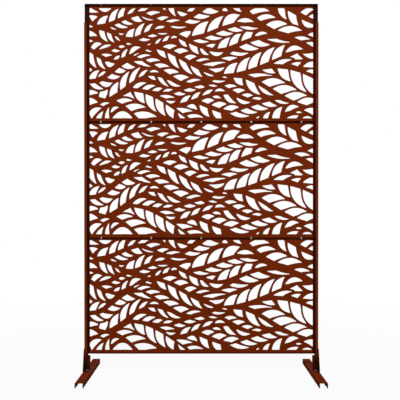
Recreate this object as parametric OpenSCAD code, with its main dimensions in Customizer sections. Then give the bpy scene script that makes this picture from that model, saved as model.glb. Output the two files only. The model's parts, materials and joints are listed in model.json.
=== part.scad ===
// Free-standing privacy screen of laser cut sheet steel: three folded leaf-pattern
// panels bolted between two posts that stand on channel feet.
// X runs along the screen, the front faces -Y, and Z is up from the ground.

/* [Panels] */
// Width of one panel over its side flanges
panel_w = 1219; // [1000:1:1400]
// Height of one panel over its top and bottom flanges
panel_h = 610; // [520:1:700]
// How far the flanges stand forward of the back of the sheet
panel_d = 20; // [18:0.5:26]
// Thickness of the panel sheet
sheet_t = 1.5; // [1:0.1:2]
// Solid border left between the panel edge and the pattern at the sides
side_border = 22; // [18:1:40]
// Solid border left above and below the pattern
edge_border = 16; // [14:1:40]
// Height of the lowest panel above the ground
ground_gap = 115; // [90:1:200]

/* [Leaf pattern] */
// Width of the metal left between neighbouring leaves
rib_w = 11; // [9:0.5:14]
// How far the back of a leaf bulges, as a share of its length
leaf_bulge = 0.19; // [0.05:0.01:0.25]
// How far the front of a leaf is hollowed, as a share of its length
leaf_hollow = 0.04; // [0:0.01:0.12]

/* [Posts] */
// Thickness of the post channel
post_t = 3; // [2:0.5:4]
// Width of the post's front and back flanges
post_flange = 16; // [14:0.5:22]
// Bend radius outside the post's corners
post_bend = 2.5; // [1:0.5:4]
// How far the posts stop below the top of the screen
post_drop = 98; // [0:1:150]
// Height at which each post is joined from two lengths
post_joint = 990; // [960:1:1100]

/* [Feet] */
// Length of one foot, front to back
foot_l = 460; // [360:5:600]
// Width of the foot channel
foot_w = 42; // [38:1:60]
// Height of the foot channel
foot_h = 27; // [24:1:40]
// Thickness of the foot channel
foot_t = 3; // [2:0.5:4]
// Diameter of the holes for ground anchors
anchor_d = 11; // [9:0.5:13]
// Distance between a foot's anchor holes
anchor_gap = 344; // [200:2:350]

/* [Brackets] */
// Thickness of the bracket's base plate and gusset
plate_t = 3; // [2:0.5:5]
// Length of the base plate and of the gusset's lower edge
plate_l = 90; // [80:1:120]
// Height of the gusset above the ground
gusset_top = 140; // [125:1:180]
// Width of the tube that fills the foot of the post
tube_w = 25.5; // [22:0.5:30]
// Wall of that tube
tube_t = 2; // [1.5:0.5:3]

/* [Fasteners] */
// Thread diameter of the panel and bracket screws
screw_d = 6; // [5:1:6]
// Thread diameter of the bolts that hold a bracket to its foot
bolt_d = 8; // [6:1:8]

/* [Hidden] */
$fn = 48;
// The pattern is drawn in a field of this size, then fitted to the panel
FIELD = [1175, 578];
window = [panel_w - 2 * side_border, panel_h - 2 * edge_border];
// Straight pieces along each long side of a leaf
LEAF_STEPS = 4;
// Narrowest thread of metal that is kept
thinnest = 2;

// Heights of the panels' lower edges, and the top of the screen
panel_z = [for (i = [0 : 2]) ground_gap + i * panel_h];
screen_h = ground_gap + 3 * panel_h;
// Bend radii of the panel sheet, and the notch that lets its corners fold
sheet_in_r = 1;
sheet_out_r = sheet_in_r + sheet_t;
corner_notch = 3;
// Back of the panels, which are centred on the posts
back_y = panel_d / 2;

// Posts: the inside takes a panel with a little play
post_play = 0.5;
post_in_d = panel_d + 2 * post_play;
post_out_d = post_in_d + 2 * post_t;
post_x = panel_w / 2 + post_t;
post_low = foot_h + plate_t + 2;
post_top = screen_h - post_drop;

// Brackets and feet
gusset_x = post_x + plate_t;
plate_top = foot_h + plate_t;
tube_top = ground_gap - 2;
tube_d = panel_d;
tube_x = panel_w / 2 - tube_w;
plate_x = tube_x - 1;
foot_x = gusset_x - foot_w / 2;
weld = 3;

// Fastener places
hole_d = screw_d + 0.6;
bolt_hole_d = bolt_d + 1;
side_screw_z = [110, 415];
seam_screw_x = [-525, -262, 0, 262, 525];
bracket_screw_z = [58, 94];
foot_bolt_x = tube_x + tube_w / 2;
foot_bolt_y = (tube_d / 2 + plate_l / 2) / 2;
nut_h = 0.84 * screw_d;
foot_nut_h = 0.84 * bolt_d;

// Fronds, front ones first. Each has its stem as four curve points, then its rows
// of leaves: side of the stem (1 above, -1 below), number, first and last place on
// the stem, and the reach of the leaves from the first to the last.
FRONDS = [
    // Middle: the large fronds
    [[[-60, 420], [60, 425], [140, 530], [290, 490]],
        [1, 4, 0.03, 0.84, [[56, 75], [60, 76], [78, 48], [60, 14]]],
        [-1, 5, 0.06, 0.95, [[68, -6], [80, -6], [68, -7], [58, -10], [87, -8]]]],
    [[[60, 357], [170, 345], [230, 445], [400, 430]],
        [1, 4, 0.08, 0.84, [[55, 60], [45, 65], [45, 50], [60, 12]]],
        [-1, 4, 0.26, 0.98, [[98, 0], [95, -11], [89, -17], [125, -17]]]],
    [[[60, 222], [230, 210], [330, 290], [520, 352]],
        [1, 6, 0.10, 0.95, [[48, 58], [49, 83], [38, 87], [50, 80], [47, 60], [75, 14]]],
        [-1, 1, 0.80, 0.95, [[58, -22]]]],
    [[[-260, 375], [-150, 365], [-60, 255], [80, 228]],
        [-1, 5, 0.03, 1.02, [[33, -44], [44, -76], [57, -76], [42, -49], [45, -15]]],
        [1, 4, 0.13, 0.85, [[60, 10], [65, 4], [51, 12], [66, 2]]]],
    [[[-200, 462], [-110, 440], [-10, 350], [140, 357]],
        [-1, 4, 0.25, 0.98, [[32, -36], [33, -50], [40, -36], [45, -18]]],
        [1, 1, 0.24, 0.45, [[50, 22]]]],
    [[[150, 226], [290, 228], [400, 90], [590, 78]],
        [-1, 4, 0.03, 0.68, [[36, -42], [57, -73], [65, -42], [72, -17]]],
        [1, 5, 0.23, 0.95, [[118, 3], [115, -3], [112, 2], [108, 10], [90, 18]]]],
    // Right edge
    [[[350, 276], [450, 275], [500, 262], [600, 205]],
        [-1, 3, 0.14, 0.97, [[48, -70], [59, -110], [45, -110]]],
        [1, 3, 0.07, 0.85, [[67, 24], [36, 15], [60, 24]]]],
    [[[210, 585], [290, 520], [340, 440], [520, 440]],
        [1, 4, 0.17, 0.90, [[104, 5], [96, 4], [96, 8], [111, 9]]]],
    [[[395, 610], [450, 585], [510, 530], [610, 490]],
        [-1, 3, 0.02, 0.9, [[30, -70], [40, -79], [60, -32]]],
        [1, 2, 0.62, 0.95, [[60, 22], [50, 15]]]],
    [[[400, 432], [480, 425], [540, 395], [620, 340]],
        [1, 2, 0.32, 0.9, [[70, -3], [60, -3]]]],
    // Top edge
    [[[-190, 490], [-110, 495], [-40, 545], [40, 600]],
        [-1, 3, 0.41, 1.0, [[72, -4], [74, -2], [71, -13]]],
        [-1, 1, 0.08, 0.28, [[90, -5]]],
        [1, 1, 0.62, 0.80, [[38, 15]]]],
    [[[-330, 552], [-270, 545], [-230, 500], [-150, 493]],
        [1, 3, 0.15, 0.9, [[67, 9], [53, 13], [65, 18]]],
        [-1, 1, 0.02, 0.25, [[68, -26]]]],
    [[[-587, 480], [-440, 470], [-420, 545], [-290, 547]],
        [1, 5, 0.12, 0.95, [[38, 49], [38, 64], [33, 65], [35, 35], [50, 20]]],
        [-1, 4, 0.36, 0.9, [[34, -18], [66, -14], [56, -16], [43, -22]]]],
    // Left half
    [[[-410, 418], [-320, 405], [-290, 480], [-180, 460]],
        [1, 4, 0.04, 0.98, [[32, 46], [39, 68], [35, 44], [40, 3]]],
        [-1, 3, 0.36, 1.0, [[53, 0], [40, -2], [45, -3]]]],
    [[[-300, 380], [-230, 375], [-190, 420], [-60, 418]],
        [1, 3, 0.25, 0.86, [[24, 32], [25, 28], [30, 2]]]],
    [[[-600, 476], [-520, 478], [-470, 440], [-400, 418]],
        [-1, 4, 0.05, 0.85, [[32, -35], [36, -63], [28, -55], [25, -22]]],
        [1, 1, 0.75, 0.9, [[25, 3]]]],
    [[[-600, 368], [-545, 345], [-520, 290], [-420, 298]],
        [-1, 3, 0.05, 0.95, [[32, -80], [38, -60], [40, -10]]],
        [1, 1, 0.08, 0.3, [[53, 23]]],
        [1, 1, 0.48, 0.75, [[47, 5]]]],
    [[[-560, 345], [-490, 340], [-460, 395], [-380, 400]],
        [1, 1, 0.1, 0.35, [[50, 25]]],
        [-1, 2, 0.45, 0.9, [[40, 2], [30, -3]]]],
    [[[-480, 297], [-400, 292], [-390, 350], [-290, 345]],
        [1, 4, 0.05, 0.95, [[23, 22], [22, 44], [46, 30], [35, 0]]]],
    [[[-400, 318], [-300, 330], [-220, 250], [-80, 180]],
        [1, 5, 0.14, 0.93, [[67, 14], [69, 2], [70, -5], [70, -2], [63, 10]]]],
    [[[-310, 228], [-230, 240], [-190, 195], [-90, 180]],
        [-1, 3, 0.1, 0.78, [[28, -24], [51, -52], [65, -24]]]],
    [[[-520, 85], [-430, 105], [-370, 235], [-215, 235]],
        [1, 5, 0.13, 0.95, [[31, 76], [29, 91], [42, 68], [34, 32], [38, 2]]]],
    [[[-400, 150], [-330, 160], [-250, 125], [-150, 138]],
        [1, 4, 0.1, 0.95, [[66, 28], [55, 22], [38, 17], [42, 12]]]],
    [[[-380, 150], [-290, 150], [-210, 80], [-80, -10]],
        [-1, 5, 0.09, 0.93, [[40, -65], [37, -95], [40, -85], [38, -70], [30, -40]]],
        [1, 1, 0.82, 0.98, [[75, -2]]]],
    [[[-620, 195], [-500, 180], [-460, 295], [-350, 312]],
        [-1, 6, 0.06, 1.03, [[63, -29], [60, -5], [57, 3], [56, -1], [56, -15], [93, -33]]],
        [1, 2, 0.06, 0.42, [[40, 50], [42, 35]]]],
    // Bottom edge
    [[[-160, 72], [-60, 65], [10, 140], [140, 130]],
        [1, 4, 0.12, 0.95, [[42, 38], [31, 37], [36, 26], [40, 2]]]],
    [[[-60, 90], [20, 80], [80, 20], [200, 18]],
        [1, 3, 0.22, 0.88, [[54, 10], [60, 13], [65, 15]]],
        [-1, 2, 0.2, 0.7, [[33, -53], [30, -50]]]],
    [[[90, 30], [200, 35], [270, 95], [400, 102]],
        [-1, 4, 0.12, 0.8, [[100, -17], [77, -14], [80, -13], [67, -16]]]],
    [[[60, 172], [150, 160], [200, 90], [330, 95]],
        [1, 4, 0.22, 0.9, [[59, 5], [60, 4], [48, 11], [38, 6]]],
        [-1, 2, 0.2, 0.75, [[55, -48], [60, -19]]]],
    [[[-200, 128], [-120, 140], [-40, 195], [100, 178]],
        [-1, 4, 0.2, 0.95, [[53, -7], [53, -5], [38, -9], [45, -8]]]],
    [[[-520, 92], [-440, 90], [-390, 40], [-330, -30]],
        [1, 3, 0.28, 1.05, [[75, 8], [94, 0], [110, -12]]]],
];

RUST = "sienna";
STEEL = "silver";

// Point at share t along the curve of four points p
function along(p, t) =
    let (s = 1 - t)
    s * s * s * p[0] + 3 * s * s * t * p[1] + 3 * s * t * t * p[2] + t * t * t * p[3];

// Direction of the curve at share t
function heading(p, t) =
    let (s = 1 - t,
         d = s * s * (p[1] - p[0]) + 2 * s * t * (p[2] - p[1]) + t * t * (p[3] - p[2]))
    d / norm(d);

// Left-hand normal of a direction
function left_of(d) = [-d.y, d.x];

// Value at share t along a list of values
function blend(values, t) =
    len(values) == 1 ? values[0] :
    let (u = t * (len(values) - 1), i = min(floor(u), len(values) - 2))
    values[i] + (u - i) * (values[i + 1] - values[i]);

// Points of a bowed line from a towards b, the last one left out
function bow(a, b, rise) =
    let (side = left_of(b - a))
    [for (i = [0 : LEAF_STEPS - 1])
        let (u = i / LEAF_STEPS) a + u * (b - a) + 4 * u * (1 - u) * rise * side];

// Outline of one leaf from the back of its base, its tip and the front of its base
function leaf(back, front, tip, side) =
    concat(bow(back, tip, side * leaf_bulge), bow(tip, front, -side * leaf_hollow), [front]);

// One row of leaves along a stem
module leaf_row(stem, row) {
    side = row[0];
    count = row[1];
    for (i = [0 : count - 1]) {
        place = (i + 0.5) / count;
        t0 = row[2] + (row[3] - row[2]) * i / count;
        t1 = row[2] + (row[3] - row[2]) * (i + 1) / count;
        tm = (t0 + t1) / 2;
        reach = blend(row[4], count == 1 ? 0 : i / (count - 1));
        dir = heading(stem, tm);
        // Slanting ribs take more of the stem than upright ones
        lean = abs(dir.x * reach.y - dir.y * reach.x) / norm(reach);
        gap = rib_w / max(lean, 0.42);
        out = left_of(dir) * side * rib_w / 2;
        a = along(stem, t0) + dir * gap / 2 + out;
        b = along(stem, t1) - dir * gap / 2 + out;
        polygon(leaf(a, b, (a + b) / 2 + reach, side));
    }
}

module frond(k) {
    for (r = [1 : len(FRONDS[k]) - 1]) leaf_row(FRONDS[k][0], FRONDS[k][r]);
}

// All the leaves in the pattern field, with full ribs where fronds meet
module panel_holes_2d() {
    intersection() {
        translate([-FIELD.x / 2, 0]) square(FIELD);
        union()
            for (k = [0 : len(FRONDS) - 1])
                difference() {
                    frond(k);
                    if (k > 0) offset(r = rib_w) for (j = [0 : k - 1]) frond(j);
                }
    }
}

// Copy of the children on the left (-1) or right (1) end of the screen
module on_side(side) {
    if (side > 0) children();
    else mirror([1, 0, 0]) children();
}

// Rectangle from x = 0 to len with its two corners at x = 0 rounded
module round_back(w, len, r) {
    translate([r, -w / 2]) square([len - r, w]);
    translate([0, -w / 2 + r]) square([r, w - 2 * r]);
    for (s = [-1, 1]) translate([r, s * (w / 2 - r)]) circle(r);
}

// Section of a folded channel that opens towards +X
module channel_2d(web, flange, t, out_r, in_r) {
    difference() {
        round_back(web, flange, out_r);
        translate([t, 0]) round_back(web - 2 * t, flange, in_r);
    }
}

// Rectangle with rounded corners, centred
module round_box_2d(w, h, r) {
    square([w, h - 2 * r], center = true);
    square([w - 2 * r, h], center = true);
    for (x = [-1, 1], y = [-1, 1]) translate([x * (w / 2 - r), y * (h / 2 - r)]) circle(r);
}

// Section of one folded edge of a panel, from the end of its flat face
module fold_2d() {
    translate([0, sheet_out_r]) square([sheet_t, panel_d - sheet_out_r]);
    intersection() {
        translate([sheet_out_r, sheet_out_r])
            difference() {
                circle(sheet_out_r);
                circle(sheet_in_r);
            }
        square(sheet_out_r);
    }
}

// Flat face of a panel: the sheet between its bends, notched at the corners and cut.
// Threads of metal too thin to cut are left out.
module face_2d() {
    offset(delta = thinnest / 2)
        offset(delta = -thinnest / 2)
            difference() {
                square([panel_w - 2 * sheet_out_r, panel_h - 2 * sheet_out_r], center = true);
                translate([0, -window.y / 2])
                    scale([window.x / FIELD.x, window.y / FIELD.y])
                        panel_holes_2d();
                for (x = [-1, 1], y = [-1, 1])
                    translate([x * (panel_w / 2), y * (panel_h / 2)])
                        square(2 * corner_notch, center = true);
            }
}

// One panel: a cut face with four flanges folded forward
module panel(low) {
    color(RUST)
    translate([0, back_y, low + panel_h / 2])
    difference() {
        union() {
            rotate([90, 0, 0]) linear_extrude(sheet_t) face_2d();
            for (side = [-1, 1])
                on_side(side)
                    translate([panel_w / 2, 0, 0])
                        rotate([0, 0, 180])
                            linear_extrude(panel_h - 2 * corner_notch, center = true) fold_2d();
            for (edge = [0, 1])
                mirror([0, 0, edge])
                    translate([0, 0, panel_h / 2])
                        rotate([0, 90, 180])
                            linear_extrude(panel_w - 2 * corner_notch, center = true) fold_2d();
        }
        for (side = [-1, 1], z = side_screw_z)
            translate([side * panel_w / 2, -back_y, z - panel_h / 2])
                rotate([0, 90, 0]) cylinder(d = hole_d, h = 4 * sheet_t, center = true);
        for (edge = [-1, 1], x = seam_screw_x)
            translate([x, -back_y, edge * panel_h / 2])
                cylinder(d = hole_d, h = 4 * sheet_t, center = true);
    }
}

// One length of the right-hand post, from height low to height high
module post(low, high) {
    color(RUST)
    difference() {
        translate([post_x, 0, low])
            mirror([1, 0, 0])
                linear_extrude(high - low)
                    channel_2d(post_out_d, post_flange, post_t, post_bend, post_play);
        for (base = panel_z, z = side_screw_z)
            if (base + z > low && base + z < high)
                translate([panel_w / 2, 0, base + z])
                    rotate([0, 90, 0]) cylinder(d = hole_d, h = 4 * post_t, center = true);
        for (z = bracket_screw_z)
            if (z > low)
                translate([panel_w / 2, 0, z])
                    rotate([0, 90, 0]) cylinder(d = hole_d, h = 4 * post_t, center = true);
    }
}

// Weld bead along +Y in the corner between a floor at z = 0 and a wall at x = 0
module weld_bead(len) {
    rotate([90, 0, 0])
        linear_extrude(len, center = true)
            intersection() {
                circle(weld);
                square(weld);
            }
}

// Right-hand bracket: base plate, tube inside the post and gusset outside it
module bracket() {
    color(RUST)
    difference() {
        union() {
            translate([(plate_x + gusset_x) / 2, 0, foot_h])
                linear_extrude(plate_t) round_box_2d(gusset_x - plate_x, plate_l, 2);
            translate([tube_x + tube_w / 2, 0, plate_top])
                linear_extrude(tube_top - plate_top)
                    difference() {
                        round_box_2d(tube_w, tube_d, 3);
                        round_box_2d(tube_w - 2 * tube_t, tube_d - 2 * tube_t, 1);
                    }
            translate([gusset_x, 0, plate_top])
                rotate([90, 0, -90])
                    linear_extrude(plate_t) gusset_2d();
            for (s = [-1, 1])
                translate([tube_x + tube_w / 2, s * tube_d / 2, plate_top])
                    rotate([0, 0, s * 90]) weld_bead(tube_w - 8);
        }
        for (z = bracket_screw_z)
            translate([panel_w / 2 + post_t / 2, 0, z])
                rotate([0, 90, 0]) cylinder(d = hole_d, h = 4 * post_t, center = true);
        for (s = [-1, 1])
            translate([foot_bolt_x, s * foot_bolt_y, foot_h])
                cylinder(d = bolt_hole_d, h = 4 * plate_t, center = true);
    }
}

// Gusset seen from its side: wide on the base plate, as narrow as the post at its top
module gusset_2d() {
    top = gusset_top - plate_top;
    polygon([
        [-plate_l / 2 + 2, 0], [plate_l / 2 - 2, 0],
        [post_out_d / 2, top - 3], [post_out_d / 2 - 3, top],
        [-post_out_d / 2 + 3, top], [-post_out_d / 2, top - 3],
    ]);
}

// Right-hand foot: a channel with its open side on the ground
module foot() {
    color(RUST)
    difference() {
        translate([foot_x, 0, foot_h])
            rotate([90, 90, 0])
                linear_extrude(foot_l, center = true)
                    channel_2d(foot_w, foot_h, foot_t, foot_t + 1, 1);
        for (s = [-1, 1]) {
            translate([foot_x, s * anchor_gap / 2, foot_h])
                cylinder(d = anchor_d, h = 4 * foot_t, center = true);
            translate([foot_bolt_x, s * foot_bolt_y, foot_h])
                cylinder(d = bolt_hole_d, h = 4 * foot_t, center = true);
        }
    }
}

// Button head screw, its head standing on z = 0 and its shank below
module button_screw(len) {
    head_d = 1.75 * screw_d;
    head_h = 0.55 * screw_d;
    dome_r = (head_d * head_d / 4 + head_h * head_h) / (2 * head_h);
    difference() {
        union() {
            intersection() {
                translate([0, 0, head_h - dome_r]) sphere(dome_r);
                cylinder(d = head_d, h = head_h);
            }
            translate([0, 0, -len]) cylinder(d = screw_d, h = len + 0.5);
        }
        translate([0, 0, head_h - 0.35 * screw_d])
            cylinder(d = 0.77 * screw_d, h = screw_d, $fn = 6);
    }
}

// Hexagon with chamfered edges, standing on z = 0
module hex_2_chamfers(d, h) {
    across = 1.64 * d;
    intersection() {
        cylinder(d = across / cos(30), h = h, $fn = 6);
        rotate_extrude()
            polygon([[0, 0], [across * 0.5, 0], [across * 0.59, h * 0.15],
                     [across * 0.59, h * 0.85], [across * 0.5, h], [0, h]]);
    }
}

// Nut standing on z = 0
module nut(d, h) {
    difference() {
        hex_2_chamfers(d, h);
        translate([0, 0, -1]) cylinder(d = d, h = h + 2);
    }
}

// Hexagon bolt with a flange under its head, which stands on z = 0
module flange_bolt(len) {
    rotate_extrude()
        polygon([[0, 0], [bolt_d, 0], [bolt_d, 1], [bolt_d * 0.82, 1.8], [0, 1.8]]);
    hex_2_chamfers(bolt_d, 0.8 * bolt_d);
    translate([0, 0, -len]) cylinder(d = bolt_d, h = len + 1);
}

// Screws and nuts of the seam at height z
module seam_screws(z) {
    color(STEEL)
    for (x = seam_screw_x)
        translate([x, 0, z + sheet_t]) button_screw(12);
}

module seam_nuts(z) {
    color(STEEL)
    for (x = seam_screw_x)
        translate([x, 0, z - sheet_t - nut_h]) nut(screw_d, nut_h);
}

// Screws and nuts that hold the panels to the right-hand post
module side_screws() {
    color(STEEL)
    for (base = panel_z, z = side_screw_z)
        translate([post_x, 0, base + z]) rotate([0, 90, 0]) button_screw(12);
}

module side_nuts() {
    color(STEEL)
    for (base = panel_z, z = side_screw_z)
        translate([panel_w / 2 - sheet_t - nut_h, 0, base + z])
            rotate([0, 90, 0]) nut(screw_d, nut_h);
}

// Screws and nuts that hold the right-hand post to its bracket
module bracket_screws() {
    color(STEEL)
    for (z = bracket_screw_z)
        translate([gusset_x, 0, z]) rotate([0, 90, 0]) button_screw(16);
}

module bracket_nuts() {
    color(STEEL)
    for (z = bracket_screw_z)
        translate([panel_w / 2 - tube_t - nut_h, 0, z])
            rotate([0, 90, 0]) nut(screw_d, nut_h);
}

// Bolts and nuts that hold the right-hand bracket to its foot
module foot_bolts() {
    color(STEEL)
    for (s = [-1, 1])
        translate([foot_bolt_x, s * foot_bolt_y, plate_top]) flange_bolt(16);
}

module foot_nuts() {
    color(STEEL)
    for (s = [-1, 1])
        translate([foot_bolt_x, s * foot_bolt_y, foot_h - foot_t - foot_nut_h])
            nut(bolt_d, foot_nut_h);
}

panel(panel_z[2]);  // panel_top
panel(panel_z[1]);  // panel_middle
panel(panel_z[0]);  // panel_bottom
on_side(-1) post(post_joint, post_top);  // post_upper_left
on_side(1) post(post_joint, post_top);  // post_upper_right
on_side(-1) post(post_low, post_joint);  // post_lower_left
on_side(1) post(post_low, post_joint);  // post_lower_right
on_side(-1) bracket();  // bracket_left
on_side(1) bracket();  // bracket_right
on_side(-1) foot();  // foot_left
on_side(1) foot();  // foot_right
seam_screws(panel_z[2]);  // seam_screws_upper
seam_screws(panel_z[1]);  // seam_screws_lower
seam_nuts(panel_z[2]);  // seam_nuts_upper
seam_nuts(panel_z[1]);  // seam_nuts_lower
on_side(-1) side_screws();  // side_screws_left
on_side(1) side_screws();  // side_screws_right
on_side(-1) side_nuts();  // side_nuts_left
on_side(1) side_nuts();  // side_nuts_right
on_side(-1) bracket_screws();  // bracket_screws_left
on_side(1) bracket_screws();  // bracket_screws_right
on_side(-1) bracket_nuts();  // bracket_nuts_left
on_side(1) bracket_nuts();  // bracket_nuts_right
on_side(-1) foot_bolts();  // foot_bolts_left
on_side(1) foot_bolts();  // foot_bolts_right
on_side(-1) foot_nuts();  // foot_nuts_left
on_side(1) foot_nuts();  // foot_nuts_right
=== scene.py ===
"""Finishes, cut leaf pattern, threaded fasteners, weld beads and studio of a
free-standing privacy screen of sheet steel. Sizes are in metres; its front faces -Y."""

import json
import math

import bmesh
import bpy
import numpy as np
from bpy.props import FloatProperty, FloatVectorProperty, PointerProperty
from mathutils import Matrix, Vector
from mathutils.geometry import tessellate_polygon


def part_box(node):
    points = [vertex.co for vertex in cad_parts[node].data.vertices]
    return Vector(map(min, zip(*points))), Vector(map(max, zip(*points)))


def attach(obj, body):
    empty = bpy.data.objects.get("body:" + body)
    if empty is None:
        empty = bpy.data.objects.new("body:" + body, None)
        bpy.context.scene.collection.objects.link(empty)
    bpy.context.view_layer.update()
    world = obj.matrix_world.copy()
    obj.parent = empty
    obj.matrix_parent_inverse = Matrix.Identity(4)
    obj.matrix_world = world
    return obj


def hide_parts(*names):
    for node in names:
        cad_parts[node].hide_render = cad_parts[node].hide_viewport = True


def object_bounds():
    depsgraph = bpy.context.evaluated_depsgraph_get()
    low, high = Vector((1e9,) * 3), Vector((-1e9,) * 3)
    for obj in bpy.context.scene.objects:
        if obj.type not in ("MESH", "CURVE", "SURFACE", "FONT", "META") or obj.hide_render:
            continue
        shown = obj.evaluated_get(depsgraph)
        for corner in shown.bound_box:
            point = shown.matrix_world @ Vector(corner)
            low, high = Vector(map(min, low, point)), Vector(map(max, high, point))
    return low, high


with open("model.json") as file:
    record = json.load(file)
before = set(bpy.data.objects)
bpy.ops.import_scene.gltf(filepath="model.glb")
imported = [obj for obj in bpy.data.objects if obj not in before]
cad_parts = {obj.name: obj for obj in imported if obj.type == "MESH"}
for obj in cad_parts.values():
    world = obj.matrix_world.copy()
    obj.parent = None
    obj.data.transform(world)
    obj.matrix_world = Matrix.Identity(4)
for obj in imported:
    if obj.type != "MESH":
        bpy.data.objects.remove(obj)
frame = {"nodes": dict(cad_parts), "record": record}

bl_info = {
    "name": "Leaf Screen",
    "version": (1, 0, 0),
    "blender": (4, 5, 0),
    "location": "View3D > Sidebar > Leaf Screen",
    "description": "Powder coat, zinc plated fasteners and studio for a leaf pattern screen",
    "category": "Object",
}

MM = 0.001
# Points closer than this are the same point
NEAR = 0.01 * MM
BODY = "root"
CAD_LOW, CAD_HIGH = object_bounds()
# Sides of the screen and their direction along X
SIDES = {"left": -1, "right": 1}
PANELS = ("panel_top", "panel_middle", "panel_bottom")

# Places of the anchor holes in the feet, from the middle of the screen
ANCHORS = frame["record"]["mounts"][0]["dims"]
ANCHOR_X, ANCHOR_Y = (ANCHORS[f"spacing_{axis}_mm"] / 2 * MM for axis in "xy")

# Attribute of the faces that lie in a fold or in a cut hole, where shade is painted
SHADED_FACES = "inner_faces"


# ---- Colours and nodes ----

def linear(hex_colour):
    """Linear red, green and blue of an sRGB hex colour"""
    shares = [int(hex_colour[i:i + 2], 16) / 255 for i in (0, 2, 4)]
    return [s / 12.92 if s <= 0.04045 else ((s + 0.055) / 1.055) ** 2.4 for s in shares]


def add(tree, kind, settings=None, **links):
    """Adds one shader node. Settings are its own values, and its inputs' values by name
    or number. Links are what feeds its inputs, by name with _ for each space, or by _
    and a number: a socket, or a node for its first output."""
    node = tree.nodes.new(f"ShaderNode{kind}")
    for key, value in (settings or {}).items():
        if isinstance(key, str) and hasattr(node, key):
            setattr(node, key, value)
        else:
            node.inputs[key].default_value = value
    for key, source in links.items():
        name = int(key[1:]) if key[0] == "_" else key.replace("_", " ")
        socket = source.outputs[0] if isinstance(source, bpy.types.Node) else source
        tree.links.new(socket, node.inputs[name])
    return node


# Numbers of a Mix node's two colour inputs
MIX_A, MIX_B = 6, 7


def new_material(name):
    """An empty material, its node tree and the socket of the places on its objects"""
    material = bpy.data.materials.new(name)
    material.use_nodes = True
    tree = material.node_tree
    tree.nodes.clear()
    return material, tree, add(tree, "TexCoord").outputs["Object"]


def rgba(colour):
    """A colour with full cover"""
    return (*colour, 1.0)


WHITE = rgba((1, 1, 1))


def shade(colour, share):
    """A colour made lighter or darker by a share"""
    return rgba([min(1.0, c * share) for c in colour])


# ---- Settings ----

class LeafScreenFinish(bpy.types.PropertyGroup):
    """Colours and surface sizes of the screen's finishes"""

    panel_coat: FloatVectorProperty(
        name="Panel coat", description="Rust brown powder coat on the panels",
        subtype="COLOR", size=3, min=0, max=1, default=linear("742804"))
    frame_coat: FloatVectorProperty(
        name="Frame coat", description="Rust brown powder coat on the posts",
        subtype="COLOR", size=3, min=0, max=1, default=linear("762804"))
    bracket_coat: FloatVectorProperty(
        name="Bracket coat", description="Dark brown powder coat on the brackets",
        subtype="COLOR", size=3, min=0, max=1, default=linear("3E1403"))
    foot_coat: FloatVectorProperty(
        name="Foot coat", description="Rust brown powder coat on the feet",
        subtype="COLOR", size=3, min=0, max=1, default=linear("842C08"))
    zinc: FloatVectorProperty(
        name="Zinc", description="Bright zinc plate on screws, bolts and nuts",
        subtype="COLOR", size=3, min=0, max=1, default=linear("B4B6B7"))
    dull_zinc: FloatVectorProperty(
        name="Dull zinc", description="Weathered zinc plate on the foot bolts",
        subtype="COLOR", size=3, min=0, max=1, default=linear("6E706F"))
    peel_size: FloatProperty(
        name="Orange peel", description="Distance between the waves of the baked coat",
        unit="LENGTH", default=2.4 * MM, min=0.5 * MM, max=10 * MM)
    cloud_size: FloatProperty(
        name="Clouds", description="Size of the patches where the coat is thicker",
        unit="LENGTH", default=70 * MM, min=10 * MM, max=500 * MM)


class LeafScreenDetail(bpy.types.PropertyGroup):
    """Sizes of the small pieces"""

    screw_pitch: FloatProperty(
        name="Screw pitch", description="Rise of the screws' thread in one turn",
        unit="LENGTH", default=1.0 * MM, min=0.5 * MM, max=2 * MM)
    bolt_pitch: FloatProperty(
        name="Bolt pitch", description="Rise of the foot bolts' thread in one turn",
        unit="LENGTH", default=1.25 * MM, min=0.5 * MM, max=2 * MM)
    bead_size: FloatProperty(
        name="Weld bead", description="Height of the weld beads on the brackets",
        unit="LENGTH", default=3.0 * MM, min=1 * MM, max=6 * MM)
    tube_top: FloatProperty(
        name="Tube top", description="Height at which the brackets' tubes end",
        unit="LENGTH", default=103 * MM, min=100 * MM, max=112 * MM)
    corner_weld: FloatProperty(
        name="Corner weld", description="Radius of the welds in the corners of the panels",
        unit="LENGTH", default=2.4 * MM, min=1 * MM, max=2.6 * MM)
    ripple: FloatProperty(
        name="Weld ripple", description="Distance between a weld bead's ripples",
        unit="LENGTH", default=1.6 * MM, min=0.5 * MM, max=5 * MM)


class LeafScreenStage(bpy.types.PropertyGroup):
    """Camera, floor and light"""

    distance: FloatProperty(
        name="Camera distance", description="From the middle of the screen to the camera",
        unit="LENGTH", default=2.976, min=1, max=20)
    eye_height: FloatProperty(
        name="Camera height", description="Height of the camera above the floor",
        unit="LENGTH", default=0.848, min=0.1, max=3)
    tilt: FloatProperty(
        name="Camera tilt", description="How far the camera looks down",
        subtype="ANGLE", default=math.radians(0.32), min=-0.5, max=0.5)
    lens: FloatProperty(
        name="Lens", description="Focal length on a 36 mm wide sensor",
        unit="CAMERA", default=51.0, min=20, max=200)
    floor_width: FloatProperty(
        name="Floor width", description="Width of the floor sheet",
        unit="LENGTH", default=16.0, min=4, max=60)
    floor_colour: FloatVectorProperty(
        name="Floor colour", description="Colour of the floor sheet",
        subtype="COLOR", size=3, min=0, max=1, default=linear("F4F4F2"))
    sky: FloatProperty(
        name="Sky light", description="Strength of the even light from all round",
        default=0.04, min=0, max=2)
    key_power: FloatProperty(
        name="Key light", description="Power of the softbox above the front",
        unit="POWER", default=290.0, min=0, max=1000)
    back_power: FloatProperty(
        name="Back light", description="Power of the softbox above the back",
        unit="POWER", default=170.0, min=0, max=1000)
    fill_power: FloatProperty(
        name="Fill light", description="Power of each softbox beside the camera",
        unit="POWER", default=3.0, min=0, max=1000)


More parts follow.
